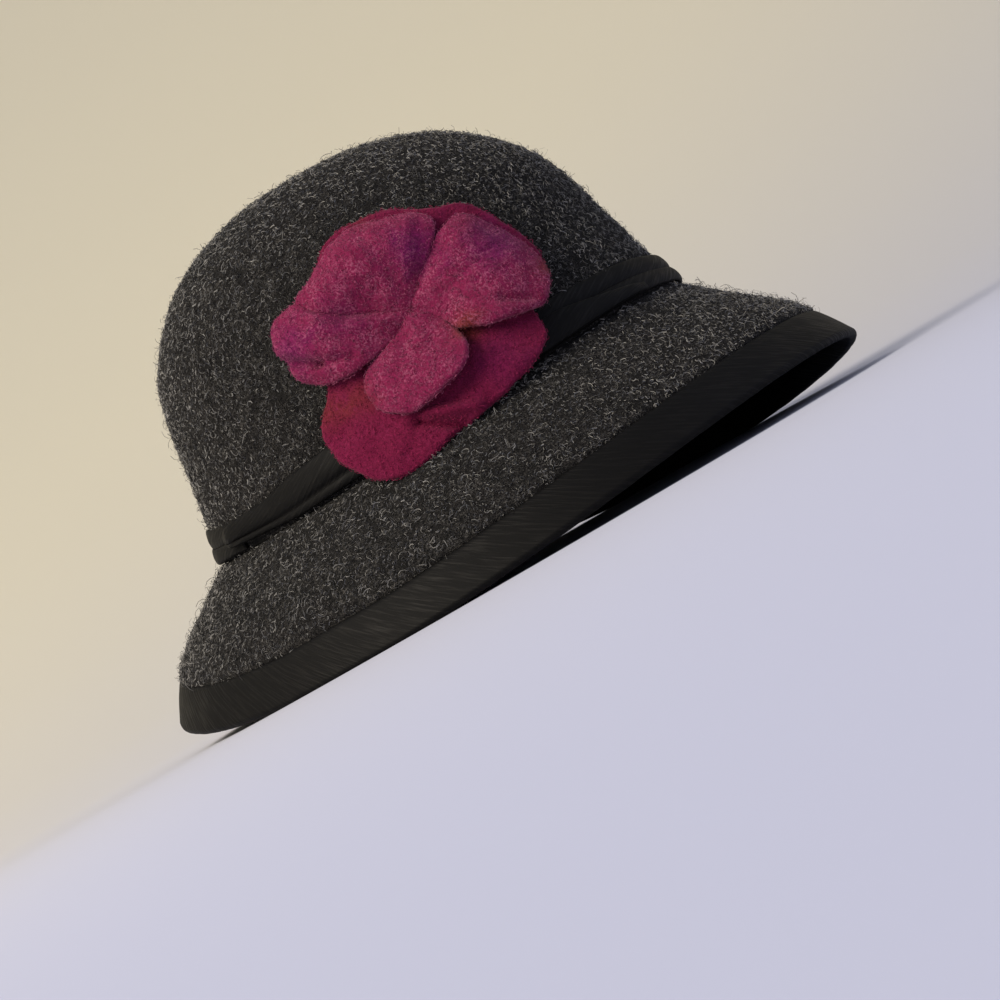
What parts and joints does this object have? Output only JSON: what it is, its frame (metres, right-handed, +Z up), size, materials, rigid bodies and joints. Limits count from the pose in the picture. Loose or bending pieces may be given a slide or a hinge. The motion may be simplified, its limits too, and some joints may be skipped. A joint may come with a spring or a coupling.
{
  "type": "felt cloche hat with a silk band and a felt flower",
  "caption": "Bell-shaped wool felt hat with a turned-down bound brim, a pleated silk band and a layered felt flower on the wearer's right.",
  "frame": {"origin": "on the surface that the hat rests on, under the middle of the brim's rim", "axes": "+Z up towards the top of the crown, -Y towards the hat's front, -X towards the wearer's right, where the flower sits"},
  "size_m": [0.2622, 0.2935, 0.1646],
  "materials": {
    "wool_felt": "matt charcoal heather boiled wool with light curly fibres",
    "black_silk": "black slubbed silk with a soft sheen",
    "magenta_felt": "matt hand-felted wool, deep magenta",
    "rose_felt": "matt hand-felted wool, heathered rose with purple patches"
  },
  "bodies": {
    "root": {"crown": "wool_felt", "brim": "wool_felt", "brim_binding": "black_silk", "band": "black_silk", "band_side": "black_silk", "band_tail": "black_silk", "flower_back": "magenta_felt", "flower_front": "rose_felt"}
  },
  "joints": []
}
